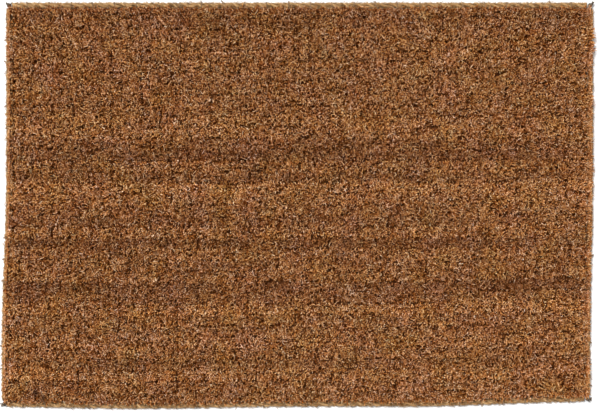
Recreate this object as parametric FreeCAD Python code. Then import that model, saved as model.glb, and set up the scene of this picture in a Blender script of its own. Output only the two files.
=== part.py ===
"""A hand-woven coir door mat, in millimetres.

X runs along the length, Y across the width, Z up, and the floor is Z = 0.
The origin is the middle of the underside.

The ground is woven from four sets of yarns. From the floor up they are the
lower picks, the tight chain and the upper picks, and the slack chain binds them:
it dips under each lower pick and rises over each upper pick. A line of cut pile
stands on the upper picks for each creel yarn. A plaited braid is stitched round
the four edges, and its ends meet in a knot at each corner.
"""
import FreeCAD, Part
import math
import os

# Overall size
MAT_LENGTH = 600.0
MAT_WIDTH = 412.0
MAT_HEIGHT = 24.0
FIT_GAP = 0.2              # between yarns that lie side by side or end to end
REST_GAP = 0.05            # between yarns that rest on each other

# Pile, one line for each creel yarn
LINE_COUNT = 36
LINE_PITCH = 11.1
ROOT_WIDTH = 4.0           # of a line where its yarn leaves the weave
SHOULDER_HEIGHT = 12.0     # above the floor, where neighbouring lines meet
TIP_ROUNDING = 1.5         # how much a line narrows and falls at its top edges
END_SPLAY = 5.0            # how far the tips at a line's ends lean outward
ROOT_INSET = 0.6           # how far its root stops short of the weave's ends

# Weave, as flattened yarns
PICK_SPACING = 10.0        # from a lower pick to the next upper pick
PICK_WIDTH = 3.2
PICK_HEIGHT = 1.6
TIGHT_WIDTH = 2.4
TIGHT_HEIGHT = 1.9
SLACK_WIDTH = 3.5
SLACK_HEIGHT = 1.5
SLACK_FLAT = 4.4           # length of the slack chain's level run at each pick
CORNER_CUT = 0.45          # taken off a flattened yarn's corners

# Edge
BRAID_WIDTH = 5.2
BRAID_HEIGHT = 8.3
STRAND_COUNT = 3
STRAND_SIDES = 6           # of a strand's section
STRAND_RADIUS = 1.1        # to the corners of that section
PLAIT_PITCH = 37.5         # along the edge, for a strand's whole path from side to side and back
PLAIT_STEPS = 12           # straight runs in one pitch
SEAM_TOLERANCE = 1e-6      # within which a strand's faces are joined
STITCH_CORNER = 1.5        # how far a stitch cuts across the braid's corners
TWINE_THICKNESS = 0.8
TWINE_WIDTH = 1.6
STITCH_FOOT = 6.0          # how far a stitch hooks in under the weave
STITCH_LOW = 0.6           # height of its foot and of its outer leg's end
STITCH_SPACING = 2 * LINE_PITCH
LONG_EDGE_STITCHES = 26
SHORT_EDGE_STITCHES = 18
KNOT_HEIGHT = 9.6
KNOT_CORNER = 1.6

# Heights that follow, from the floor up
LOWER_PICK_Z = SLACK_HEIGHT + REST_GAP
TIGHT_Z = LOWER_PICK_Z + PICK_HEIGHT + REST_GAP
UPPER_PICK_Z = TIGHT_Z + TIGHT_HEIGHT + REST_GAP
WEAVE_TOP_Z = UPPER_PICK_Z + PICK_HEIGHT + REST_GAP

# Half sizes that follow, from the middle of the mat outward
HALF_LENGTH = MAT_LENGTH / 2
HALF_WIDTH = MAT_WIDTH / 2
EDGE_DEPTH = BRAID_WIDTH + 2 * TWINE_THICKNESS
WEAVE_HALF_LENGTH = HALF_LENGTH - EDGE_DEPTH - FIT_GAP
WEAVE_HALF_WIDTH = HALF_WIDTH - EDGE_DEPTH - FIT_GAP


def flattened(middle, bottom, width, height, corner):
    """Corners of a rectangle with cut corners, as (across, up) pairs."""
    left = middle - width / 2
    right = middle + width / 2
    top = bottom + height
    return [
        (left + corner, bottom), (right - corner, bottom),
        (right, bottom + corner), (right, top - corner),
        (right - corner, top), (left + corner, top),
        (left, top - corner), (left, bottom + corner),
    ]


def along_x(outline, start, end):
    """A solid from a (y, z) outline, from x = start to x = end."""
    points = [FreeCAD.Vector(start, y, z) for y, z in outline]
    face = Part.Face(Part.makePolygon(points + points[:1]))
    return face.extrude(FreeCAD.Vector(end - start, 0, 0))


def along_y(outline, start, end):
    """A solid from an (x, z) outline, from y = start to y = end."""
    points = [FreeCAD.Vector(x, start, z) for x, z in outline]
    face = Part.Face(Part.makePolygon(points + points[:1]))
    return face.extrude(FreeCAD.Vector(0, end - start, 0))


def band(path, thickness):
    """Outline of a band of even thickness that follows a bent path."""
    normals = []
    for (u0, w0), (u1, w1) in zip(path, path[1:]):
        length = math.hypot(u1 - u0, w1 - w0)
        normals.append(((w0 - w1) / length, (u1 - u0) / length))
    before = normals[:1] + normals
    after = normals + normals[-1:]
    offsets = []
    for (u0, w0), (u1, w1) in zip(before, after):
        mitre = thickness / (1 + u0 * u1 + w0 * w1)
        offsets.append(((u0 + u1) * mitre / 2, (w0 + w1) * mitre / 2))
    upper = [(u + du, w + dw) for (u, w), (du, dw) in zip(path, offsets)]
    lower = [(u - du, w - dw) for (u, w), (du, dw) in zip(path, offsets)]
    return upper + lower[::-1]


def line_middles():
    """Y of the middle of each pile line, from the front edge to the back."""
    first = -LINE_PITCH * (LINE_COUNT - 1) / 2
    return [first + LINE_PITCH * line for line in range(LINE_COUNT)]


def pile_line(middle):
    """One line of cut pile, a rib with a narrow root and ends that splay outward."""
    root = ROOT_WIDTH / 2
    full = (LINE_PITCH - FIT_GAP) / 2
    rounded = MAT_HEIGHT - TIP_ROUNDING
    section = [
        (middle - root, WEAVE_TOP_Z), (middle + root, WEAVE_TOP_Z),
        (middle + full, SHOULDER_HEIGHT), (middle + full, rounded),
        (middle + full - TIP_ROUNDING, MAT_HEIGHT), (middle - full + TIP_ROUNDING, MAT_HEIGHT),
        (middle - full, rounded), (middle - full, SHOULDER_HEIGHT),
    ]
    root_end = WEAVE_HALF_LENGTH - ROOT_INSET
    tip_end = root_end + END_SPLAY
    profile = [
        (-root_end, WEAVE_TOP_Z), (root_end, WEAVE_TOP_Z),
        (tip_end, MAT_HEIGHT), (-tip_end, MAT_HEIGHT),
    ]
    rib = along_x(section, -tip_end, tip_end)
    return rib.common(along_y(profile, middle - LINE_PITCH, middle + LINE_PITCH)).Solids[0]


def picks(bottom, positions):
    """Weft yarns across the whole width, at the given X positions."""
    outlines = [flattened(x, bottom, PICK_WIDTH, PICK_HEIGHT, CORNER_CUT) for x in positions]
    return [along_y(outline, -WEAVE_HALF_WIDTH, WEAVE_HALF_WIDTH) for outline in outlines]


def pick_positions(first):
    """X of every second pick place, mirrored about the middle, from the given one outward."""
    outward = []
    x = first
    while x + PICK_WIDTH / 2 < WEAVE_HALF_LENGTH:
        outward.append(x)
        x += 2 * PICK_SPACING
    return sorted({-x for x in outward} | set(outward))


def tight_chain():
    """Straight warp yarns, one in the middle of the ground under each pile line."""
    outlines = [flattened(y, TIGHT_Z, TIGHT_WIDTH, TIGHT_HEIGHT, CORNER_CUT) for y in line_middles()]
    return [along_x(outline, -WEAVE_HALF_LENGTH, WEAVE_HALF_LENGTH) for outline in outlines]


def slack_path():
    """Middle line of a slack yarn: under each lower pick and over each upper pick."""
    low = SLACK_HEIGHT / 2
    high = WEAVE_TOP_Z + SLACK_HEIGHT / 2
    level = SLACK_FLAT / 2
    lower = [(x, low) for x in pick_positions(0.0)]
    upper = [(x, high) for x in pick_positions(PICK_SPACING)]
    path = []
    for x, z in sorted(lower + upper):
        path += [(x - level, z), (x + level, z)]
    path[0] = (-WEAVE_HALF_LENGTH, high)
    path[-1] = (WEAVE_HALF_LENGTH, high)
    return path


def slack_chain():
    """Binding warp yarns, one at every second gap between pile lines."""
    outline = band(slack_path(), SLACK_HEIGHT)
    middles = line_middles()[1::2]
    gaps = [y + LINE_PITCH / 2 for y in middles[:-1]]
    return [along_y(outline, y - SLACK_WIDTH / 2, y + SLACK_WIDTH / 2) for y in gaps]


def plait_path(half_length, number):
    """Middle line of one strand, which swings up and down and twice as often in and out."""
    swing_up = BRAID_HEIGHT / 2 - STRAND_RADIUS
    swing_out = BRAID_WIDTH / 2 - STRAND_RADIUS
    step = PLAIT_PITCH / PLAIT_STEPS
    count = int(half_length // step)
    stations = [-half_length] + [step * place for place in range(-count + 1, count)] + [half_length]
    path = []
    for x in stations:
        turn = 2 * math.pi * (x / PLAIT_PITCH + number / STRAND_COUNT)
        path.append(FreeCAD.Vector(x, swing_out * math.sin(2 * turn), swing_up * math.sin(turn)))
    return path


def swept(path, radius, sides):
    """A many-sided bar of even section along straight runs, mitred where they meet."""
    runs = [(end - start).normalize() for start, end in zip(path, path[1:])]
    ring = []
    for corner in range(sides):
        angle = 2 * math.pi * corner / sides
        ring.append(path[0] + FreeCAD.Vector(0, radius * math.cos(angle), radius * math.sin(angle)))
    rings = [ring]
    square_end = FreeCAD.Vector(1, 0, 0)
    mitres = [(before + after).normalize() for before, after in zip(runs, runs[1:])] + [square_end]
    for point, run, mitre in zip(path[1:], runs, mitres):
        ring = [corner + run * ((point - corner).dot(mitre) / run.dot(mitre)) for corner in ring]
        rings.append(ring)
    faces = [Part.Face(Part.makePolygon(end + end[:1])) for end in (rings[0], rings[-1])]
    for near, far in zip(rings, rings[1:]):
        for corner in range(sides):
            following = (corner + 1) % sides
            outline = [near[corner], near[following], far[following], far[corner], near[corner]]
            faces.append(Part.Face(Part.makePolygon(outline)))
    solid = Part.makeSolid(Part.makeShell(faces))
    solid.fix(SEAM_TOLERANCE, SEAM_TOLERANCE, SEAM_TOLERANCE)
    return solid


def strand(half_length, half_width, side, number):
    """One strand of the braid along X, on the side of Y that side (1 or -1) names."""
    middle = side * (half_width - TWINE_THICKNESS - BRAID_WIDTH / 2)
    path = plait_path(half_length - EDGE_DEPTH - FIT_GAP, number)
    bar = swept(path, STRAND_RADIUS, STRAND_SIDES)
    return bar.translated(FreeCAD.Vector(0, middle, BRAID_HEIGHT / 2))


def stitch_outline(half_width, side):
    """A stitch from its foot under the weave, up inside the braid, over it and down outside."""
    half = TWINE_THICKNESS / 2
    inner = half_width - EDGE_DEPTH + half
    outer = half_width - half
    top = BRAID_HEIGHT + half
    bend = STITCH_CORNER + half
    path = [
        (inner - STITCH_FOOT, STITCH_LOW), (inner, STITCH_LOW), (inner, top - bend), (inner + bend, top),
        (outer - bend, top), (outer, top - bend), (outer, STITCH_LOW),
    ]
    return band([(side * across, up) for across, up in path], TWINE_THICKNESS)


def stitches(half_width, side, count):
    """The row of stitches that holds one length of braid laid along X."""
    outline = stitch_outline(half_width, side)
    first = -STITCH_SPACING * (count - 1) / 2
    starts = [first + STITCH_SPACING * number - TWINE_WIDTH / 2 for number in range(count)]
    return [along_x(outline, start, start + TWINE_WIDTH) for start in starts]


def quarter_turn(shape):
    """The same shape turned from lying along X to lying along Y."""
    return shape.rotated(FreeCAD.Vector(0, 0, 0), FreeCAD.Vector(0, 0, 1), 90)


def corner_knot(side_x, side_y):
    """The knot where two lengths of braid meet, a block with every edge cut."""
    block = Part.makeBox(EDGE_DEPTH, EDGE_DEPTH, KNOT_HEIGHT)
    block = block.makeChamfer(KNOT_CORNER, block.Edges)
    x = -HALF_LENGTH if side_x < 0 else HALF_LENGTH - EDGE_DEPTH
    y = -HALF_WIDTH if side_y < 0 else HALF_WIDTH - EDGE_DEPTH
    return block.translated(FreeCAD.Vector(x, y, 0))


def nodes():
    """Every sub-part as a name and its list of solids."""
    parts = {}
    for number, middle in enumerate(line_middles(), start=1):
        parts[f"pile_line_{number:02d}"] = [pile_line(middle)]
    parts["tight_chain"] = tight_chain()
    parts["slack_chain"] = slack_chain()
    parts["upper_picks"] = picks(UPPER_PICK_Z, pick_positions(PICK_SPACING))
    parts["lower_picks"] = picks(LOWER_PICK_Z, pick_positions(0.0))
    for name, side in (("front", -1), ("back", 1)):
        for number in range(STRAND_COUNT):
            parts[f"braid_{name}_strand_{number + 1}"] = [strand(HALF_LENGTH, HALF_WIDTH, side, number)]
        parts[f"stitches_{name}"] = stitches(HALF_WIDTH, side, LONG_EDGE_STITCHES)
    for name, side in (("right", -1), ("left", 1)):
        for number in range(STRAND_COUNT):
            bar = strand(HALF_WIDTH, HALF_LENGTH, side, number)
            parts[f"braid_{name}_strand_{number + 1}"] = [quarter_turn(bar)]
        row = stitches(HALF_LENGTH, side, SHORT_EDGE_STITCHES)
        parts[f"stitches_{name}"] = [quarter_turn(stitch) for stitch in row]
    for depth, side_y in (("front", -1), ("back", 1)):
        for hand, side_x in (("left", -1), ("right", 1)):
            parts[f"corner_knot_{depth}_{hand}"] = [corner_knot(side_x, side_y)]
    return parts


os.makedirs("parts", exist_ok=True)
for name, solids in nodes().items():
    shape = solids[0] if len(solids) == 1 else Part.makeCompound(solids)
    if not all(solid.isValid() for solid in solids):
        raise RuntimeError(f"{name} isn't a valid shape")
    shape.exportStep(f"parts/{name}.step")
    print(f"{name}: {len(solids)} solids, {shape.Volume / 1000:.1f} cm3")
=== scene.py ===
import math

import bpy
import numpy as np
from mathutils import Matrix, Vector


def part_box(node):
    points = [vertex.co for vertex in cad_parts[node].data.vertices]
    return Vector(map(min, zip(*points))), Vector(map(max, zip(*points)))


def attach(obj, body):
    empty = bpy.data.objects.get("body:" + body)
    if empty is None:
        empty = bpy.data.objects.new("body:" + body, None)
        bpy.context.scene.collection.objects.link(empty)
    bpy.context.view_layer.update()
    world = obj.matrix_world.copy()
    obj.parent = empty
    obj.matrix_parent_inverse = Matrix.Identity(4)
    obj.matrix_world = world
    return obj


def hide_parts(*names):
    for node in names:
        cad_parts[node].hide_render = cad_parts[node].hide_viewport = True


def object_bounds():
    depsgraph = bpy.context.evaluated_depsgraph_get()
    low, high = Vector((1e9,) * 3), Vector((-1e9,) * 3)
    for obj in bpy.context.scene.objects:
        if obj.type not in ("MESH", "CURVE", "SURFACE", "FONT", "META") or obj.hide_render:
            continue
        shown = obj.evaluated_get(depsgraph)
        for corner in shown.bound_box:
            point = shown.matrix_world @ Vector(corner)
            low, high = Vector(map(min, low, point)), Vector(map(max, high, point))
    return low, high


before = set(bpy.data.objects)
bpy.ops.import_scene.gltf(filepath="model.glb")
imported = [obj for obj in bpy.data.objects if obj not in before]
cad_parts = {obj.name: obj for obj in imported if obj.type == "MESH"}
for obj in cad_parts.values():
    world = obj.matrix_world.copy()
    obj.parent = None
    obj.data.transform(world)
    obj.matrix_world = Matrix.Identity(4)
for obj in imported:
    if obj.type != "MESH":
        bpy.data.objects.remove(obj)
CAD_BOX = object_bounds()
LOW = np.array(CAD_BOX[0])
HIGH = np.array(CAD_BOX[1])
RNG = np.random.default_rng(36)

ALONG = (1, 0, 0)
ACROSS = (0, 1, 0)
UP = (0, 0, 1)

# Ground yarns, in metres, as wide as in the CAD part
PICK_COUNTS = {"upper_picks": 30, "lower_picks": 29}
TIGHT_HALF_WIDTH = 0.0012
SLACK_COUNT = 17
SLACK_HALF_WIDTH = 0.00175
SLACK_HALF_HEIGHT = 0.00075
WEAVE_PERIOD = 0.020        # from one lower pick to the next

# Pile, in metres
LINE_COUNT = 36
LEG_COUNT = 2 * PICK_COUNTS["upper_picks"]            # a tuft has two legs, one on each side of its pick
LEG_SPACING = 0.010
FIBRES_PER_LEG = 155
FIBRE_RADII = np.array([0.00027, 0.00030, 0.0])       # at the root, the bend and the tip
SHORT_TIP = (0.0001, 0.0005)
LONG_TIP = (0.0016, 0.0036)
LONG_TIP_SHARE = 0.08
COMBED = math.radians(70)   # the way that most tips lie, to and fro
ROOT_HEIGHT = 0.0068
PILE_HALF_LENGTH = 0.2945
PILE_HALF_WIDTH = 0.1996
STRAY_COUNT = 2600          # long thin fibres that lie loose over the pile
STRAY_RADII = np.array([0.00018, 0.00019, 0.00019, 0.00017, 0.0])

# Near the pile's edges: where each thing begins and where it is full, from the middle of the mat
RIGHT_LEAN = (0.2820, PILE_HALF_LENGTH)
LEFT_LEAN = (0.2932, PILE_HALF_LENGTH)
FRONT_LEAN = (0.1900, PILE_HALF_WIDTH)
WALL_ALONG = (0.2925, 0.2944)         # the outermost wall of fibres at the left and the right end
WALL_ACROSS = (0.1975, 0.1994)        # and at the front and the back
# The ends of the lines are drawn brighter here: painted light, where the pile's rounded ends catch the light
PAINTED_LIGHT_ENDS = (0.2850, 0.2910)
DARK_LEFT_RIM = (0.2935, 0.2950)

# Lines of pile drawn paler or darker, counted from the front, and how much brighter they are
LINE_SHADES = {
    0.20: (3, 9, 20),
    0.10: (6, 16, 19, 25, 26),
    -0.11: (4, 10, 17, 21, 24, 35, 36),
    -0.23: (11, 15, 23),
}
LOOSE_LINES = (33, 34)      # their last tufts have come loose and lean further out at the right end
# Two dark spots: how far in from the left and the front edge, and their radius
SPOTS = ((0.0360, 0.0165, 0.0036), (0.0440, 0.0100, 0.0036))

# Edge, in metres
SIDES = ("front", "back", "left", "right")
STRAND_COUNT = 3
STRAND_RADIUS = 0.0011      # of the CAD strand
PLAIT_PITCH = 0.0375
STITCH_COUNTS = {"front": 26, "back": 26, "left": 18, "right": 18}
STITCH_HALF_WIDTH = 0.0008
STITCH_FOOT = 0.006
STITCH_LOW = 0.0006
TAILED_SHARE = 0.12         # how many stitches show the cut tail of a thread

# UV maps and the streaks along yarns
CELL_MARGIN = 0.06          # left free around each tube in its own cell, as a share of the cell
LAY_STEP = 0.37             # from one tube to the next, so that no two have the same streaks
LAY_RADIUS = 0.001


# ---------------------------------------------------------------- shared shapes

def smooth(low, high, value):
    """0 below low, 1 above high, and an even slope between them."""
    share = np.clip((value - low) / (high - low), 0.0, 1.0)
    return share * share * (3.0 - 2.0 * share)


def unit(vectors):
    """The same vectors, each of length 1."""
    shortest = 1e-12        # so that a vector of no length stays as it is
    return vectors / np.maximum(np.linalg.norm(vectors, axis=-1, keepdims=True), shortest)


def travelled(paths):
    """How far along its own path each ring is."""
    steps = np.diff(paths, axis=-2, prepend=paths[..., :1, :])
    return np.cumsum(np.linalg.norm(steps, axis=-1), axis=-1)


def square_to(paths, across):
    """Two directions at each ring, square to the path and to each other, the first square to across too."""
    tangents = unit(np.gradient(paths, axis=-2))
    out = unit(np.cross(tangents, np.broadcast_to(across, paths.shape)))
    return out, np.cross(tangents, out)


def hand_woven(points):
    """Shifts points a few millimetres, as a mat woven by hand is never quite square."""
    x = points[..., 0]
    y = points[..., 1]
    shifted = points.copy()

    # The front edge stands out a little, most of all left of the middle, and slants in at the right end
    stands_out = 0.0012
    bulge = 0.0022 * np.exp(-((x + 0.16) / 0.10) ** 2)
    slant = 0.0050 * smooth(0.12, 0.30, x)
    shifted[..., 1] += smooth(-0.14, 0.19, -y) * (-stands_out - bulge + slant)

    # The front half lies further left, and its left end most of all
    shifted[..., 0] -= (0.0036 - 0.003 * x) * smooth(-0.03, 0.14, -y)
    return shifted


def linked(name, mesh):
    """A piece with the given mesh, put into the scene."""
    piece = bpy.data.objects.new(name, mesh)
    bpy.context.scene.collection.objects.link(piece)
    return piece


def faced_mesh(name, points, groups):
    """A smooth mesh from its points and groups of faces. All faces of a group have equally many corners."""
    corners = np.concatenate([group.ravel() for group in groups])
    sizes = np.concatenate([np.full(len(group), group.shape[1]) for group in groups])
    starts = np.concatenate([[0], np.cumsum(sizes)[:-1]])
    mesh = bpy.data.meshes.new(name)
    mesh.vertices.add(len(points))
    mesh.vertices.foreach_set("co", points.astype(np.float32).ravel())
    mesh.loops.add(len(corners))
    mesh.loops.foreach_set("vertex_index", corners.astype(np.int32))
    mesh.polygons.add(len(starts))
    mesh.polygons.foreach_set("loop_start", starts.astype(np.int32))
    mesh.update(calc_edges=True)
    mesh.shade_smooth()
    return mesh


def add_map(mesh, places):
    """The UV map, from a place for each corner of each face."""
    layer = mesh.uv_layers.new(name="OFBake")
    layer.data.foreach_set("uv", places.astype(np.float32).ravel())


def add_value(mesh, name, values):
    """A number or a vector stored for each point of the mesh."""
    kind = "FLOAT_VECTOR" if values.ndim == 2 else "FLOAT"
    key = "vector" if values.ndim == 2 else "value"
    layer = mesh.attributes.new(name, kind, "POINT")
    layer.data.foreach_set(key, values.astype(np.float32).ravel())


# ---------------------------------------------------------------- tubes

def tube_faces(count, rings, sides, pointed):
    """How many points a tube has, and the faces of all tubes: their sides, then far ends, then feet."""
    per_tube = rings * sides
    if pointed:
        per_tube -= sides - 1
    index = (per_tube * np.arange(count))[:, None, None] + np.arange(rings * sides).reshape(rings, sides)
    turned = np.roll(index, -1, axis=2)
    body = rings - 1 - pointed
    near = (index[:, :body], turned[:, :body])
    far = (turned[:, 1:body + 1], index[:, 1:body + 1])
    quads = np.stack([*near, *far], axis=-1)
    if pointed:
        apex = np.repeat(index[:, -1, :1], sides, axis=1)
        ends = np.stack([index[:, -2], turned[:, -2], apex], axis=-1).reshape(-1, 3)
    else:
        ends = index[:, -1, :]
    feet = index[:, 0, ::-1]
    return per_tube, [quads.reshape(-1, 4), ends, feet]


def cell_corners(rings, sides, pointed):
    """Where a tube's faces lie in its own cell of the UV map: its length runs across the cell.

    A pointed tube is a thin fibre, of one colour all round, so its last side lies back over the others.
    """
    along = np.linspace(CELL_MARGIN, 1 - CELL_MARGIN, rings)
    around = np.resize(np.linspace(CELL_MARGIN, 1 - CELL_MARGIN, sides + (not pointed)), sides + 1)
    quads = []
    for ring in range(rings - 1 - pointed):
        for side in range(sides):
            quads += [(along[ring], around[side]), (along[ring], around[side + 1]),
                      (along[ring + 1], around[side + 1]), (along[ring + 1], around[side])]
    foot = [(along[0], around[side]) for side in reversed(range(sides))]
    end = []
    for side in range(sides):
        if pointed:
            end += [(along[-2], around[side]), (along[-2], around[side + 1]), (along[-1], 0.5)]
        else:
            end += [(along[-1], around[side])]
    return np.array(quads).reshape(-1, 2), np.array(end), np.array(foot)


def tubes(name, paths, radii, across, sides, values, columns, pointed=False):
    """One piece of closed tubes, all with the same number of rings.

    paths is (tube, ring, xyz) and radii (tube, ring). across is a direction that no path runs along.
    values are numbers kept for each ring. columns is how many tubes lie side by side in the UV map.
    A pointed tube ends in a single point, and any other in a flat face.
    """
    count, rings = radii.shape
    out, side = square_to(paths, across)
    angles = 2 * math.pi * np.arange(sides) / sides
    spokes = np.cos(angles)[:, None] * out[:, :, None, :] + np.sin(angles)[:, None] * side[:, :, None, :]
    points = paths[:, :, None, :] + radii[:, :, None, None] * spokes
    points[..., 2] = np.maximum(points[..., 2], 0.0)      # the ground presses yarn flat
    if pointed:
        points[:, -1, 0] = paths[:, -1]
    lay = np.empty((count, rings, sides, 3))
    lay[..., 0] = travelled(paths)[:, :, None] + LAY_STEP * np.arange(count)[:, None, None]
    lay[..., 1] = LAY_RADIUS * np.cos(angles)
    lay[..., 2] = LAY_RADIUS * np.sin(angles)
    per_tube, faces = tube_faces(count, rings, sides, pointed)

    def kept(array):
        """An array's rows in the order of the mesh's points. A pointed end keeps only its first row."""
        rows = array.reshape(count, rings * sides, *array.shape[3:])
        return rows[:, :per_tube].reshape(-1, *array.shape[3:])

    mesh = faced_mesh(name, kept(hand_woven(points)), faces)
    tube = np.arange(count)
    cell = np.stack([tube % columns, tube // columns], axis=-1)[:, None, :]
    cell_size = np.array([1.0 / columns, 1.0 / math.ceil(count / columns)])
    parts = cell_corners(rings, sides, pointed)
    add_map(mesh, np.concatenate([((cell + part) * cell_size).reshape(-1, 2) for part in parts]))
    for key, value in values.items():
        for_each_ring = np.broadcast_to(value, (count, rings))[:, :, None]
        add_value(mesh, key, kept(np.repeat(for_each_ring, sides, axis=2)))
    add_value(mesh, "lay", kept(lay))
    return linked(name, mesh)


# ---------------------------------------------------------------- pile

def each(values):
    """The values of a line's legs, repeated for every fibre of each leg."""
    return np.repeat(values, FIBRES_PER_LEG, axis=0)


def standing(low, high):
    """Fibres of a line before they lean: their roots, their bends and how far the bends are below the top."""
    count = LEG_COUNT * FIBRES_PER_LEG
    leg_x = LEG_SPACING * (np.arange(LEG_COUNT) - LEG_COUNT / 2 + 0.5)
    leg_drop = RNG.normal(0.0, 0.0003, LEG_COUNT)
    leg_shift = RNG.normal(0.0, 0.0012, (LEG_COUNT, 2))

    # Every tuft spreads out until it meets its neighbours
    centre = np.stack([each(leg_x), np.full(count, (low.y + high.y) / 2)], axis=-1)
    half_cell = np.array([LEG_SPACING / 2, (high.y - low.y) / 2])
    offset = RNG.uniform(-1.0, 1.0, (count, 2)) * half_cell
    gap = np.abs(offset[:, 0] / half_cell[0]) ** 4
    offset += 0.5 * each(leg_shift) + RNG.normal(0.0, 0.0009, (count, 2))
    limit = np.array([PILE_HALF_LENGTH, PILE_HALF_WIDTH])
    sunk = 0.0006 + RNG.gamma(2.0, 0.00105, count) - each(leg_drop) + 0.0007 * gap
    bend = np.empty((count, 3))
    bend[:, :2] = np.clip(centre + offset, -limit, limit)
    bend[:, 2] = high.z - sunk
    root = np.empty((count, 3))
    root[:, :2] = np.clip(centre + 0.7 * offset + RNG.normal(0.0, 0.0006, (count, 2)), -limit, limit)
    root[:, 2] = ROOT_HEIGHT + RNG.uniform(-0.0004, 0.0004, count)
    return root, bend, sunk


def lean_out(number, bend):
    """Leans the bends at the right, left and front edge out over the braid.

    Returns the way that each one leans, as an angle, and how strongly it does, from 0 to 1.
    """
    count = len(bend)
    out_x = smooth(*RIGHT_LEAN, bend[:, 0]) - 0.4 * smooth(*LEFT_LEAN, -bend[:, 0])
    out_y = -smooth(*FRONT_LEAN, -bend[:, 1])
    lean = np.hypot(out_x, out_y).clip(0.0, 1.0)
    reach_out = RNG.uniform(0.0016, 0.0034)
    if number in LOOSE_LINES:
        reach_out += 0.0034
    bend[:, 0] += out_x * RNG.uniform(-0.0006, reach_out, count)
    bend[:, 1] += out_y * RNG.uniform(-0.0004, 0.0020, count)
    bend[:, 2] -= lean * RNG.uniform(0.0, 0.0070, count)
    return np.arctan2(out_y, out_x), lean


def close_edges(bend):
    """Spreads some fibres out low all round the mat, which closes the gap beside the braid."""
    count = len(bend)
    edge_x = smooth(*WALL_ALONG, np.abs(bend[:, 0])) * np.sign(bend[:, 0])
    edge_y = smooth(*WALL_ACROSS, np.abs(bend[:, 1])) * np.sign(bend[:, 1])
    low_down = RNG.random(count) < 0.40 * np.maximum(np.abs(edge_x), np.abs(edge_y))
    bend[:, 2] = np.where(low_down, RNG.uniform(0.0100, 0.0150, count), bend[:, 2])
    bend[:, 0] += np.where(low_down, edge_x * RNG.uniform(0.0, 0.0030, count), 0.0)
    bend[:, 1] += np.where(low_down, edge_y * RNG.uniform(0.0, 0.0030, count), 0.0)


def tips_after(bend, lean_way, lean, top):
    """The fibres' tips, and the way that each one turns. Most are short, and a few lie across the rest."""
    count = len(bend)
    heading = COMBED + math.pi * RNG.integers(0, 2, count) + RNG.normal(0.0, 0.9, count)
    outward = RNG.random(count) < 0.5 * lean
    heading = np.where(outward, lean_way + RNG.normal(0.0, 0.9, count), heading)
    way = np.stack([np.cos(heading), np.sin(heading)], axis=-1)
    is_long = RNG.random(count) < LONG_TIP_SHARE
    length = np.where(is_long, RNG.uniform(*LONG_TIP, count), RNG.uniform(*SHORT_TIP, count))
    tip = bend.copy()
    tip[:, :2] += way * length[:, None]
    tip[:, 2] += np.where(is_long, RNG.normal(0.0008, 0.0006, count), RNG.uniform(*SHORT_TIP, count))
    tip[:, 2] = np.minimum(tip[:, 2], top + 0.0006)
    return tip, way


def line_shade(number, x):
    """How bright a line is at each x, as a factor near 1, stronger in some stretches than in others."""
    extra = sum(shade for shade, numbers in LINE_SHADES.items() if number in numbers)
    stretches = np.linspace(LOW[0], HIGH[0], 18)
    strength = RNG.uniform(0.6, 1.4, stretches.size)
    drift = RNG.normal(0.0, 0.03, stretches.size)
    return np.interp(x, stretches, 1.0 + extra * strength + drift)


def fibre_shade(number, bend):
    """How bright each fibre of a line is, as a factor near 1, with painted light on the line's ends and the
    dark spots.
    """
    x = bend[:, 0]
    # Painted light: brighter towards both ends of the line, where the rounded ends of the pile catch the
    # light
    shade = line_shade(number, x) + 0.13 * smooth(*PAINTED_LIGHT_ENDS, np.abs(x))
    shade -= 0.20 * smooth(*DARK_LEFT_RIM, -x)
    for in_x, in_y, radius in SPOTS:
        away = np.hypot(x - LOW[0] - in_x, bend[:, 1] - LOW[1] - in_y)
        shade *= 1.0 - 0.75 * np.exp(-(away / radius) ** 2)
    return shade


def pile_fibres(number):
    """The cut fibres of one line of pile: up from the ground, with a bend near the tip."""
    low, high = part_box(f"pile_line_{number:02d}")
    top = high.z
    leg_tone = RNG.normal(0.0, 0.025, LEG_COUNT)
    root, bend, sunk = standing(low, high)
    lean_way, lean = lean_out(number, bend)
    close_edges(bend)
    tip, way = tips_after(bend, lean_way, lean, top)
    bend[:, 2] = np.minimum(bend[:, 2], top + 0.0002)

    count = len(bend)
    paths = np.stack([root, bend, tip], axis=1)
    radii = FIBRE_RADII * RNG.lognormal(0.0, 0.30, count).clip(0.50, 1.9)[:, None]
    across = np.stack([-way[:, 1], way[:, 0], np.zeros(count)], axis=-1)[:, None, :]
    # Fibres that lean out over the edge get a paler tone: painted light, as they catch the light
    tone = 0.5 + RNG.normal(0.0, 0.30, count) + each(leg_tone) + 0.08 * lean
    # How high each bend stands in the pile: the material draws low bends, and every root, darker as painted
    # shade
    height = 1.0 - sunk / (top - ROOT_HEIGHT)
    values = {
        "tone": np.clip(tone, 0.0, 1.0)[:, None],
        "shade": fibre_shade(number, bend)[:, None] / 2,
        "tint": RNG.random(count)[:, None],
        "reach": np.stack([np.zeros(count), height, height + 0.06], axis=-1),
    }
    return tubes(f"pile_{number:02d}", paths, radii, across, 3, values, columns=100, pointed=True)


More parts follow.
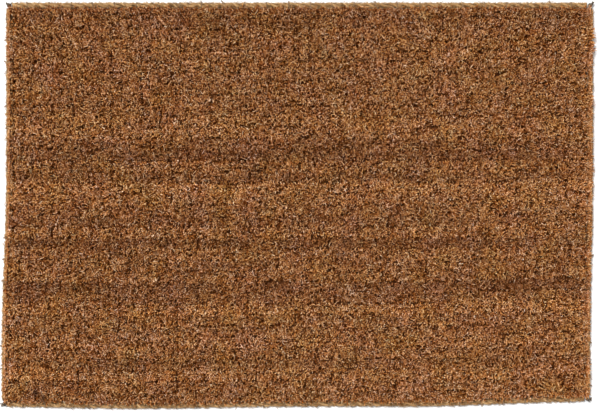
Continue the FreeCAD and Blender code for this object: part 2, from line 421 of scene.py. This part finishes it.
def stray_fibres():
    """Long thin fibres that come up out of the pile and lie curled over it."""
    rise = np.array([-0.0050, -0.0012, 0.0001, 0.0003, 0.0000])      # from the pile's top to each ring
    stride = np.array([0.0, 0.10, 0.30, 0.30, 0.30])                 # to each ring, as a share of length
    heading = RNG.uniform(-math.pi, math.pi, STRAY_COUNT)
    curl = RNG.normal(0.0, 0.55, STRAY_COUNT)
    angle = heading[:, None] + curl[:, None] * np.arange(rise.size)
    step = RNG.uniform(0.0025, 0.0075, STRAY_COUNT)[:, None] * stride
    root_x = RNG.uniform(-WALL_ALONG[0], WALL_ALONG[0], STRAY_COUNT)[:, None]
    root_y = RNG.uniform(-WALL_ACROSS[0], WALL_ACROSS[0], STRAY_COUNT)[:, None]
    paths = np.empty((STRAY_COUNT, rise.size, 3))
    paths[..., 0] = root_x + np.cumsum(step * np.cos(angle), axis=1)
    paths[..., 1] = root_y + np.cumsum(step * np.sin(angle), axis=1)
    paths[..., 2] = HIGH[2] + rise + RNG.normal(-0.0004, 0.0004, (STRAY_COUNT, rise.size))
    radii = STRAY_RADII * RNG.uniform(0.8, 1.2, STRAY_COUNT)[:, None]
    across = np.stack([-np.sin(angle), np.cos(angle), np.zeros(angle.shape)], axis=-1)
    values = {
        "tone": RNG.uniform(0.45, 1.0, (STRAY_COUNT, 1)),
        "shade": np.full((STRAY_COUNT, 1), 0.5),
        "tint": RNG.random((STRAY_COUNT, 1)),
        # Their roots lie down in the pile and are drawn darker by this reach, as painted shade
        "reach": np.array([0.6, 0.9, 1.0, 1.0, 1.0]),
    }
    return tubes("stray_fibres", paths, radii, across, 3, values, columns=60, pointed=True)


def root_mat():
    """The feet of the tufts, packed into one lumpy layer that lies on the ground weave, coloured very dark as
    painted shade.
    """
    spacing = 0.0030
    reach = np.array([0.2930, 0.1990])
    thinnest = 0.0005
    nx, ny = np.round(2 * reach / spacing).astype(int) + 1
    share = np.stack(np.meshgrid(np.linspace(-1, 1, nx), np.linspace(-1, 1, ny), indexing="ij"), axis=-1)
    inner = (np.abs(share) < 0.999).all(axis=-1)
    lumpy = np.empty((nx, ny, 3))
    lumpy[..., :2] = share * reach
    lumpy[..., 2] = ROOT_HEIGHT + thinnest + inner * RNG.uniform(0.0008, 0.0024, inner.shape)
    lumpy[1:-1, 1:-1, :2] += RNG.uniform(-0.0009, 0.0009, (nx - 2, ny - 2, 2))
    lumpy = lumpy.reshape(-1, 3)

    # The underside is one flat face, which hangs from the rim of the lumpy top
    over = np.arange(nx * ny).reshape(nx, ny)
    rim = [(slice(None, None, -1), 0), (0, slice(None)), (slice(None), -1), (-1, slice(None, None, -1))]
    high_rim = np.concatenate([over[side][:-1] for side in rim])
    low_rim = nx * ny + np.arange(high_rim.size)
    points = np.concatenate([lumpy, lumpy[high_rim] - (0.0, 0.0, 0.0002)])
    quads = np.concatenate([
        np.stack([over[:-1, :-1], over[1:, :-1], over[1:, 1:], over[:-1, 1:]], axis=-1).reshape(-1, 4),
        np.stack([low_rim, high_rim, np.roll(high_rim, -1), np.roll(low_rim, -1)], axis=-1),
    ])
    mesh = faced_mesh("root_mat", hand_woven(points), [quads, low_rim[None]])
    add_value(mesh, "tone", RNG.uniform(0.1, 0.9, len(points)))
    add_value(mesh, "lay", RNG.uniform(0.0, 0.01, (len(points), 3)))
    places = 0.5 + 0.49 * share.reshape(-1, 2)
    places = np.concatenate([places, places[high_rim]])
    add_map(mesh, places[np.concatenate([quads.ravel(), low_rim])])
    return linked("root_mat", mesh)


# ---------------------------------------------------------------- yarns

def wander(count, rings, every, size):
    """A smooth random factor near 1 for each ring of each tube."""
    knots = RNG.normal(1.0, size, (count, rings // every + 2))
    places = np.arange(rings) / every
    return np.stack([np.interp(places, np.arange(row.size), row) for row in knots])


def twisted(path, across, plies, out_reach, side_reach, turn, start):
    """Middle lines of the plies of a yarn that follows a path.

    They swing by out_reach square to across and by side_reach along it, once in each turn of the yarn.
    """
    out, side = square_to(path, across)
    far = travelled(path)
    lines = []
    for ply in range(plies):
        angle = 2 * math.pi * (far / turn + ply / plies + start)
        outward = out_reach * np.cos(angle)[:, None] * out
        sideways = side_reach * np.sin(angle)[:, None] * side
        lines.append(path + outward + sideways)
    return lines


def yarn_piece(name, lines, radius, across, sides, columns):
    """One piece of plies that all have the same number of rings."""
    paths = np.stack(lines)
    count, rings, _ = paths.shape
    radii = radius * wander(count, rings, every=9, size=0.06)
    values = {"tone": np.clip(wander(count, rings, every=40, size=0.16) - 0.5, 0.0, 1.0)}
    return tubes(name, paths, radii, np.asarray(across, float), sides, values, columns)


def straight(start, end, spacing):
    """Evenly spaced points from start to end."""
    start = np.asarray(start, float)
    end = np.asarray(end, float)
    rings = math.ceil(np.linalg.norm(end - start) / spacing) + 1
    return start + (end - start) * np.linspace(0.0, 1.0, rings)[:, None]


def pick_places(node):
    """Where along the mat the picks of a node lie. A pick is twice as wide as it is high."""
    low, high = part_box(node)
    half_width = high.z - low.z
    return np.linspace(low.x + half_width, high.x - half_width, PICK_COUNTS[node])


def picks(node):
    """Weft yarns of two plies, flattened by the chain that binds them."""
    low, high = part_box(node)
    height = (low.z + high.z) / 2
    lines = []
    for x in pick_places(node):
        path = straight((x, low.y, height), (x, high.y, height), 0.0014)
        lines += twisted(path, UP, plies=2, out_reach=0.00085, side_reach=0.00012, turn=0.0075,
                         start=RNG.random())
    return yarn_piece(f"{node}_yarn", lines, radius=0.00068, across=UP, sides=4, columns=1)


def tight_yarns():
    """Warp yarns that run straight along under the lines of pile."""
    low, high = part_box("tight_chain")
    height = (low.z + high.z) / 2
    lines = []
    for y in np.linspace(low.y + TIGHT_HALF_WIDTH, high.y - TIGHT_HALF_WIDTH, LINE_COUNT):
        path = straight((low.x, y, height), (high.x, y, height), 0.0030)
        lines += twisted(path, UP, plies=2, out_reach=0.00050, side_reach=0.00025, turn=0.012,
                         start=RNG.random())
    return yarn_piece("tight_chain_yarn", lines, radius=0.00070, across=UP, sides=3, columns=1)


def slack_yarns():
    """Warp yarns that bind: under each lower pick and over each upper pick."""
    low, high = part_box("slack_chain")
    swing = (high.z - low.z) / 2 - SLACK_HALF_HEIGHT
    lines = []
    for y in np.linspace(low.y + SLACK_HALF_WIDTH, high.y - SLACK_HALF_WIDTH, SLACK_COUNT):
        path = straight((low.x, y, 0), (high.x, y, 0), 0.0015)
        path[:, 2] = (low.z + high.z) / 2 - swing * np.cos(2 * math.pi * path[:, 0] / WEAVE_PERIOD)
        lines += twisted(path, ACROSS, plies=3, out_reach=0.00010, side_reach=0.00110, turn=0.010,
                         start=RNG.random())
    return yarn_piece("slack_chain_yarn", lines, radius=0.00064, across=ACROSS, sides=4, columns=1)


def tuft_loops():
    """The bends of the tufts, which pass under the upper picks on both sides of each tight yarn."""
    beside = 0.0027                                                  # from the tight yarn's middle
    along = np.array([-0.0030, -0.0022, 0.0, 0.0022, 0.0030])        # from the pick's middle to each ring
    up = np.array([0.0016, 0.0002, -0.0008, 0.0002, 0.0016])         # from its underside to each ring
    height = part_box("upper_picks")[0].z
    places = pick_places("upper_picks")
    lines = []
    for number in range(1, LINE_COUNT + 1):
        low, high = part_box(f"pile_line_{number:02d}")
        for side in (-beside, beside):
            y = (low.y + high.y) / 2 + side
            for x in places:
                lines.append(np.stack([x + along, np.full(along.size, y), height + up], axis=-1))
    return yarn_piece("tuft_loops", lines, radius=0.00075, across=ACROSS, sides=5, columns=48)


# ---------------------------------------------------------------- edge

def turned_to(side, points):
    """Points laid out along the back edge, turned to the named side of the mat."""
    x = points[..., 0]
    y = points[..., 1]
    turned = points.copy()
    if side == "front":
        turned[..., 0], turned[..., 1] = -x, -y
    if side == "left":
        turned[..., 0], turned[..., 1] = -y, x
    if side == "right":
        turned[..., 0], turned[..., 1] = y, -x
    return turned


def edge_size(side):
    """How far a side's braid is from the mat's middle, its half depth, half height and half length."""
    corners = []
    for number in range(1, STRAND_COUNT + 1):
        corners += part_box(f"braid_{side}_strand_{number}")
    corners = np.array(corners)
    low = corners.min(axis=0)
    high = corners.max(axis=0)
    middle = (low + high) / 2
    half = (high - low) / 2
    if side in ("front", "back"):
        return abs(middle[1]), half[1], half[2], half[0]
    return abs(middle[0]), half[0], half[2], half[1]


def plait(side):
    """Three strands of three plies each, which cross over and under one another."""
    out, half_depth, half_height, half_length = edge_size(side)
    lines = []
    for number in range(STRAND_COUNT):
        path = straight((-half_length, out, half_height), (half_length, out, half_height), 0.0012)
        turn = 2 * math.pi * (path[:, 0] / PLAIT_PITCH + number / STRAND_COUNT)
        path[:, 1] += (half_depth - STRAND_RADIUS) * np.sin(2 * turn)
        path[:, 2] += (half_height - STRAND_RADIUS) * np.sin(turn)
        lines += twisted(path, UP, plies=3, out_reach=0.00085, side_reach=0.00085, turn=0.0085,
                         start=RNG.random())
    lines = [turned_to(side, line) for line in lines]
    return yarn_piece(f"plait_{side}", lines, radius=0.00084, across=UP, sides=5, columns=1)


def fuzz(side):
    """Loose ends of fibre that stand out from the braid, mostly along it."""
    out, half_depth, half_height, half_length = edge_size(side)
    spacing = 0.00035
    count = round(half_length * 2 / spacing)

    # From a little under the outer side, over the top, to a little under the inner side
    around = RNG.uniform(-0.5, math.pi + 0.3, count)
    facing = np.stack([np.zeros(count), np.cos(around), np.sin(around)], axis=-1)
    root = np.stack([
        RNG.uniform(-half_length, half_length, count),
        out + 0.75 * half_depth * facing[:, 1],
        half_height * (1 + 0.75 * facing[:, 2]),
    ], axis=-1)
    along = RNG.normal(0.0, 0.3, (count, 3))
    along[:, 0] = RNG.choice([-1.0, 1.0], count)
    length = RNG.uniform(0.0015, 0.0050, count)[:, None]
    middle = root + 0.0012 * facing + 0.45 * length * along
    tip = middle + RNG.uniform(-0.0004, 0.0010, count)[:, None] * facing + 0.55 * length * along
    tip[:, 1] += RNG.normal(0.0, 0.0005, count)
    paths = np.stack([root, middle, tip], axis=1)
    paths[:, :, 2] = np.maximum(paths[:, :, 2], 0.0003)
    radii = np.array([0.00022, 0.00020, 0.00008]) * RNG.uniform(0.8, 1.3, count)[:, None]
    across = turned_to(side, np.cross(facing, along))[:, None, :]
    values = {"tone": RNG.uniform(0.1, 0.95, (count, 1))}
    paths = turned_to(side, paths)
    return tubes(f"fuzz_{side}", paths, radii, across, 3, values, columns=30, pointed=True)


def eased(corners, rounds):
    """A path with its corners cut, again and again."""
    path = np.asarray(corners, float)
    for _ in range(rounds):
        near = 0.75 * path[:-1] + 0.25 * path[1:]
        far = 0.25 * path[:-1] + 0.75 * path[1:]
        middle = np.stack([near, far], axis=1).reshape(-1, path.shape[1])
        path = np.concatenate([path[:1], middle, path[-1:]])
    return path


def stitch_twine(side):
    """Stitches of thin dark twine over the braid, each from under the weave to the outer side."""
    out, half_depth, half_height, _ = edge_size(side)
    low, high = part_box(f"stitches_{side}")
    axis = 0 if side in ("front", "back") else 1
    first = low[axis] + STITCH_HALF_WIDTH
    last = high[axis] - STITCH_HALF_WIDTH
    proud = 0.0004
    inner = out - half_depth - proud
    outer = out + half_depth + proud
    top = 2 * half_height + proud
    lines = []
    for along in np.linspace(first, last, STITCH_COUNTS[side]):
        slant = RNG.normal(0.0, 0.0006)
        path = eased([
            (along - slant, inner - STITCH_FOOT, STITCH_LOW),
            (along - slant, inner, STITCH_LOW),
            (along - slant, inner, top),
            (along + slant, outer, top),
            (along + slant, outer, STITCH_LOW),
        ], rounds=3)
        lines += twisted(path, ALONG, plies=2, out_reach=0.00034, side_reach=0.00034, turn=0.0030,
                         start=RNG.random())
        if RNG.random() < TAILED_SHARE:
            share = np.linspace(0.0, 1.0, len(path))[:, None]
            start = np.array([along, outer - 0.0003, 0.7 * top])
            end = (RNG.normal(0.0, 0.0012), RNG.uniform(0.0012, 0.0024), RNG.uniform(-0.001, 0.001))
            tail = start + share * end
            lines += twisted(tail, ALONG, plies=2, out_reach=0.00040, side_reach=0.00040, turn=0.0030,
                             start=RNG.random())
    lines = [turned_to(side, line) for line in lines]
    across = ALONG if axis == 0 else ACROSS
    return yarn_piece(f"twine_{side}", lines, radius=0.00036, across=across, sides=5, columns=6)


def knot(name, node):
    """The braid's ends tied off: a small lumpy ball of wound yarn, with three loose tails."""
    low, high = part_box(node)
    middle = np.array((low + high) / 2)
    half = np.array(high - low) / 2 * (0.62, 0.62, 0.90)
    yarn = 0.0009
    turns = 4.6
    share = np.linspace(0.0, 1.0, 150)
    angle = 2 * math.pi * turns * share + RNG.uniform(0, 6)
    rise = np.clip((share - 0.5) * 1.5, -0.5, 0.5)
    reach = np.minimum(1.0, np.minimum(share, 1.0 - share) / 0.17) ** 0.6
    wobble = 1.0 + 0.18 * np.sin(2.3 * angle + RNG.uniform(0, 6))
    path = np.stack([
        middle[0] + (half[0] - yarn) * reach * wobble * np.cos(angle),
        middle[1] + (half[1] - yarn) * reach * wobble * np.sin(angle),
        middle[2] + 2 * (half[2] - yarn) * rise,
    ], axis=-1)
    lines = twisted(path, UP, plies=2, out_reach=0.00045, side_reach=0.00045, turn=0.005, start=0.0)

    # The tails point away from the mat, roughly between its two edges
    outward = math.atan2(middle[1], math.copysign(abs(middle[1]), middle[0]))
    for _ in range(3):
        heading = outward + RNG.normal(0.0, 0.5)
        length = RNG.uniform(0.0025, 0.0045)
        bow = np.sin(math.pi * share)[:, None] * RNG.normal(0.0, 0.0004, 3)
        end = length * np.array([math.cos(heading), math.sin(heading), RNG.uniform(-0.4, 0.3)])
        tail = middle + (0.0, 0.0, RNG.uniform(-0.001, 0.003)) + share[:, None] * end + bow
        lines += twisted(tail, UP, plies=2, out_reach=0.00035, side_reach=0.00035, turn=0.004, start=0.0)
    return yarn_piece(name, lines, radius=0.00055, across=UP, sides=5, columns=1)


# ---------------------------------------------------------------- materials

def new_material(name):
    """An empty node material, its nodes, its links and its shader."""
    material = bpy.data.materials.new(name)
    material.use_nodes = True
    nodes = material.node_tree.nodes
    links = material.node_tree.links
    return material, nodes, links, nodes["Principled BSDF"]


def stored(nodes, name):
    """A node that reads a number or a vector kept in the mesh."""
    node = nodes.new("ShaderNodeAttribute")
    node.attribute_name = name
    return node


def ramp(nodes, links, factor, stops):
    """A colour ramp with a colour at each place from 0 to 1."""
    node = nodes.new("ShaderNodeValToRGB")
    elements = node.color_ramp.elements
    while len(elements) < len(stops):
        elements.new(1.0)
    for element, (position, colour) in zip(elements, stops):
        element.position = position
        element.color = (*colour, 1.0)
    links.new(factor, node.inputs["Fac"])
    return node.outputs["Color"]


def noise(nodes, links, vector, scale, detail):
    """A noise node on a vector."""
    node = nodes.new("ShaderNodeTexNoise")
    node.inputs["Scale"].default_value = scale
    node.inputs["Detail"].default_value = detail
    links.new(vector, node.inputs["Vector"])
    return node


def mapped(nodes, links, value, low, high):
    """A value from 0 to 1 stretched to run from low to high."""
    node = nodes.new("ShaderNodeMapRange")
    node.inputs["To Min"].default_value = low
    node.inputs["To Max"].default_value = high
    links.new(value, node.inputs["Value"])
    return node.outputs["Result"]


def mapped_colour(nodes, links, colour, low, high):
    """A noise colour with each channel stretched to run from low to high."""
    node = nodes.new("ShaderNodeMapRange")
    node.data_type = "FLOAT_VECTOR"
    vector, from_low, from_high, to_low, to_high = node.inputs[6:11]
    from_low.default_value = (0.30, 0.30, 0.30)
    from_high.default_value = (0.70, 0.70, 0.70)
    to_low.default_value = low
    to_high.default_value = high
    links.new(colour, vector)
    return node.outputs[1]


def added(nodes, links, first, second):
    """Two values added."""
    node = nodes.new("ShaderNodeMath")
    node.operation = "ADD"
    links.new(first, node.inputs[0])
    links.new(second, node.inputs[1])
    return node.outputs["Value"]


def multiplied(nodes, links, first, second):
    """Two colours multiplied."""
    node = nodes.new("ShaderNodeMix")
    node.data_type = "RGBA"
    node.blend_type = "MULTIPLY"
    node.inputs["Factor"].default_value = 1.0
    links.new(first, node.inputs[6])
    links.new(second, node.inputs[7])
    return node.outputs[2]


def bumped(nodes, links, shader, height, strength, distance):
    """Surface relief from a height value."""
    node = nodes.new("ShaderNodeBump")
    node.inputs["Strength"].default_value = strength
    node.inputs["Distance"].default_value = distance
    links.new(height, node.inputs["Height"])
    links.new(node.outputs["Normal"], shader.inputs["Normal"])


def coir_pile():
    """Cut coir: every fibre has its own brown, with painted shade that makes it darker and redder towards the
    ground.
    """
    material, nodes, links, shader = new_material("coir_pile")
    position = nodes.new("ShaderNodeTexCoord").outputs["Object"]
    tone = ramp(nodes, links, stored(nodes, "tone").outputs["Fac"], [
        (0.00, (0.140, 0.028, 0.002)),
        (0.25, (0.448, 0.156, 0.027)),
        (0.50, (0.730, 0.353, 0.120)),
        (0.75, (0.884, 0.541, 0.276)),
        (1.00, (0.930, 0.712, 0.482)),
    ])
    tint = ramp(nodes, links, stored(nodes, "tint").outputs["Fac"], [
        (0.0, (1.03, 0.97, 0.89)),
        (0.5, (1.00, 1.00, 1.00)),
        (1.0, (0.98, 1.00, 1.06)),
    ])
    patches = noise(nodes, links, position, scale=42.0, detail=2.0).outputs["Fac"]
    patches = mapped(nodes, links, patches, -0.06, 0.06)
    # The stored shade is halved to fit a ramp, so that 0.5 leaves the colour as it is
    shade = ramp(nodes, links, added(nodes, links, stored(nodes, "shade").outputs["Fac"], patches), [
        (0.0, (0.00, 0.00, 0.00)),
        (0.3, (0.67, 0.60, 0.61)),
        (0.5, (1.00, 1.00, 1.00)),
        (0.7, (1.31, 1.40, 1.40)),
        (1.0, (1.75, 2.00, 2.00)),
    ])
    areas = noise(nodes, links, position, scale=40.0, detail=2.0).outputs["Color"]
    areas = mapped_colour(nodes, links, areas, (0.98, 0.97, 0.84), (1.02, 1.03, 1.16))
    # Painted shade: the lower a ring lies in the pile, the darker and redder it is drawn
    depth = ramp(nodes, links, stored(nodes, "reach").outputs["Fac"], [
        (0.0, (0.42, 0.15, 0.04)),
        (0.7, (0.62, 0.39, 0.18)),
        (0.96, (1.00, 1.00, 1.00)),
    ])
    colour = tone
    for factor in (tint, shade, areas, depth):
        colour = multiplied(nodes, links, colour, factor)
    links.new(colour, shader.inputs["Base Color"])
    lay = stored(nodes, "lay").outputs["Vector"]
    grain = noise(nodes, links, lay, scale=900.0, detail=3.0).outputs["Fac"]
    links.new(mapped(nodes, links, grain, 0.58, 0.85), shader.inputs["Roughness"])
    bumped(nodes, links, shader, grain, strength=0.4, distance=0.0002)
    shader.inputs["Specular IOR Level"].default_value = 0.08
    return material


def coir_yarn(name, dark, middling, pale, streak=0.45):
    """Twisted yarn: fibres show as streaks along each ply."""
    material, nodes, links, shader = new_material(name)
    lay = nodes.new("ShaderNodeMapping")
    lay.inputs["Scale"].default_value = (240.0, 5200.0, 5200.0)
    links.new(stored(nodes, "lay").outputs["Vector"], lay.inputs["Vector"])
    fibres = noise(nodes, links, lay.outputs["Vector"], scale=1.0, detail=3.0).outputs["Fac"]
    streaks = mapped(nodes, links, fibres, -streak, streak)
    tone = added(nodes, links, stored(nodes, "tone").outputs["Fac"], streaks)
    colour = ramp(nodes, links, tone, [(0.1, dark), (0.5, middling), (0.9, pale)])
    links.new(colour, shader.inputs["Base Color"])
    links.new(mapped(nodes, links, fibres, 0.55, 0.88), shader.inputs["Roughness"])
    bumped(nodes, links, shader, fibres, strength=0.6, distance=0.0003)
    shader.inputs["Specular IOR Level"].default_value = 0.2
    return material


# ---------------------------------------------------------------- stage

def floor_material():
    """Plain pale grey."""
    material, _, _, shader = new_material("floor")
    shader.inputs["Base Color"].default_value = (0.80, 0.80, 0.80, 1.0)
    shader.inputs["Roughness"].default_value = 0.9
    return material


def add_floor():
    """A wide pale floor just under the mat."""
    reach = 6.0
    under = -0.0002
    front = [(-reach, -reach, under), (reach, -reach, under)]
    back = [(reach, reach, under), (-reach, reach, under)]
    mesh = bpy.data.meshes.new("floor")
    mesh.from_pydata(front + back, [], [(0, 1, 2, 3)])
    mesh.materials.append(floor_material())
    floor = linked("floor", mesh)


def add_light():
    """Soft light from all round and a broad light from above the back left."""
    world = bpy.data.worlds.new("studio")
    bpy.context.scene.world = world
    world.use_nodes = True
    nodes = world.node_tree.nodes
    links = world.node_tree.links
    parts = nodes.new("ShaderNodeSeparateXYZ")
    links.new(nodes.new("ShaderNodeTexCoord").outputs["Generated"], parts.inputs["Vector"])
    sky = ramp(nodes, links, parts.outputs["Z"], [(0.02, (1.0, 1.0, 1.0)), (0.45, (0.56, 0.56, 0.56))])
    links.new(sky, nodes["Background"].inputs["Color"])
    lamp = bpy.data.lights.new("key", "SUN")
    lamp.energy = 3.65
    lamp.angle = math.radians(10)
    key = bpy.data.objects.new("key", lamp)
    key.rotation_euler = Vector((0.20, -0.25, -1.0)).to_track_quat("-Z", "Y").to_euler()
    bpy.context.scene.collection.objects.link(key)


def add_camera():
    """A long lens looking straight down, aimed a little in front of the middle of the mat."""
    aim_x = 0.0005
    aim_y = -0.0017
    view_width = 0.6084
    lens = bpy.data.cameras.new("camera")
    lens.lens = 180.0
    distance = view_width * lens.lens / lens.sensor_width
    camera = bpy.data.objects.new("camera", lens)
    camera.location = (aim_x, aim_y, HIGH[2] + distance)
    bpy.context.scene.collection.objects.link(camera)
    bpy.context.scene.camera = camera
    bpy.context.scene.view_settings.view_transform = "Standard"


# ---------------------------------------------------------------- the mat

def place(piece, material, replaced):
    """Gives a finished piece its material and ties it to the frame."""
    piece.data.materials.clear()
    piece.data.materials.append(material)
    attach(piece, "root")
    if replaced:
        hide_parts(*replaced)


add_camera()
add_light()
add_floor()

PILE = coir_pile()
for line in range(1, LINE_COUNT + 1):
    place(pile_fibres(line), PILE, [f"pile_line_{line:02d}"])

CHAIN = coir_yarn("coir_chain", (0.120, 0.055, 0.022), (0.330, 0.180, 0.080), (0.520, 0.330, 0.170))
place(slack_yarns(), CHAIN, ["slack_chain"])
place(tight_yarns(), CHAIN, ["tight_chain"])

WEFT = coir_yarn("coir_weft", (0.090, 0.040, 0.016), (0.260, 0.130, 0.058), (0.430, 0.250, 0.125))
for node in PICK_COUNTS:
    place(picks(node), WEFT, [node])

# The roots' very dark colours are painted shade: they lie deep under the pile
ROOTS_IN_PAINTED_SHADE = coir_yarn("coir_roots_painted_shade", (0.060, 0.014, 0.001), (0.130, 0.036, 0.005), (0.220, 0.075, 0.018))
LOOPS = coir_yarn("coir_loops", (0.100, 0.040, 0.015), (0.300, 0.140, 0.058), (0.480, 0.270, 0.130))
place(tuft_loops(), LOOPS, [])
place(root_mat(), ROOTS_IN_PAINTED_SHADE, [])
place(stray_fibres(), PILE, [])

BRAID = coir_yarn("coir_braid", (0.145, 0.072, 0.023), (0.375, 0.215, 0.086), (0.625, 0.420, 0.210),
                  streak=0.40)
TWINE = coir_yarn("twine", (0.100, 0.060, 0.030), (0.260, 0.160, 0.085), (0.420, 0.280, 0.160))
for edge in SIDES:
    strands = [f"braid_{edge}_strand_{number}" for number in range(1, STRAND_COUNT + 1)]
    place(plait(edge), BRAID, strands)
    place(fuzz(edge), BRAID, [])
    place(stitch_twine(edge), TWINE, [f"stitches_{edge}"])

# The knots are drawn dark grey as painted shade, for the shade of the pile that hangs over them
KNOT = coir_yarn("coir_knot", (0.035, 0.025, 0.018), (0.110, 0.080, 0.055), (0.240, 0.170, 0.105))
for depth in ("front", "back"):
    for hand in ("left", "right"):
        corner = f"corner_knot_{depth}_{hand}"
        place(knot(f"knot_{depth}_{hand}", corner), KNOT, [corner])
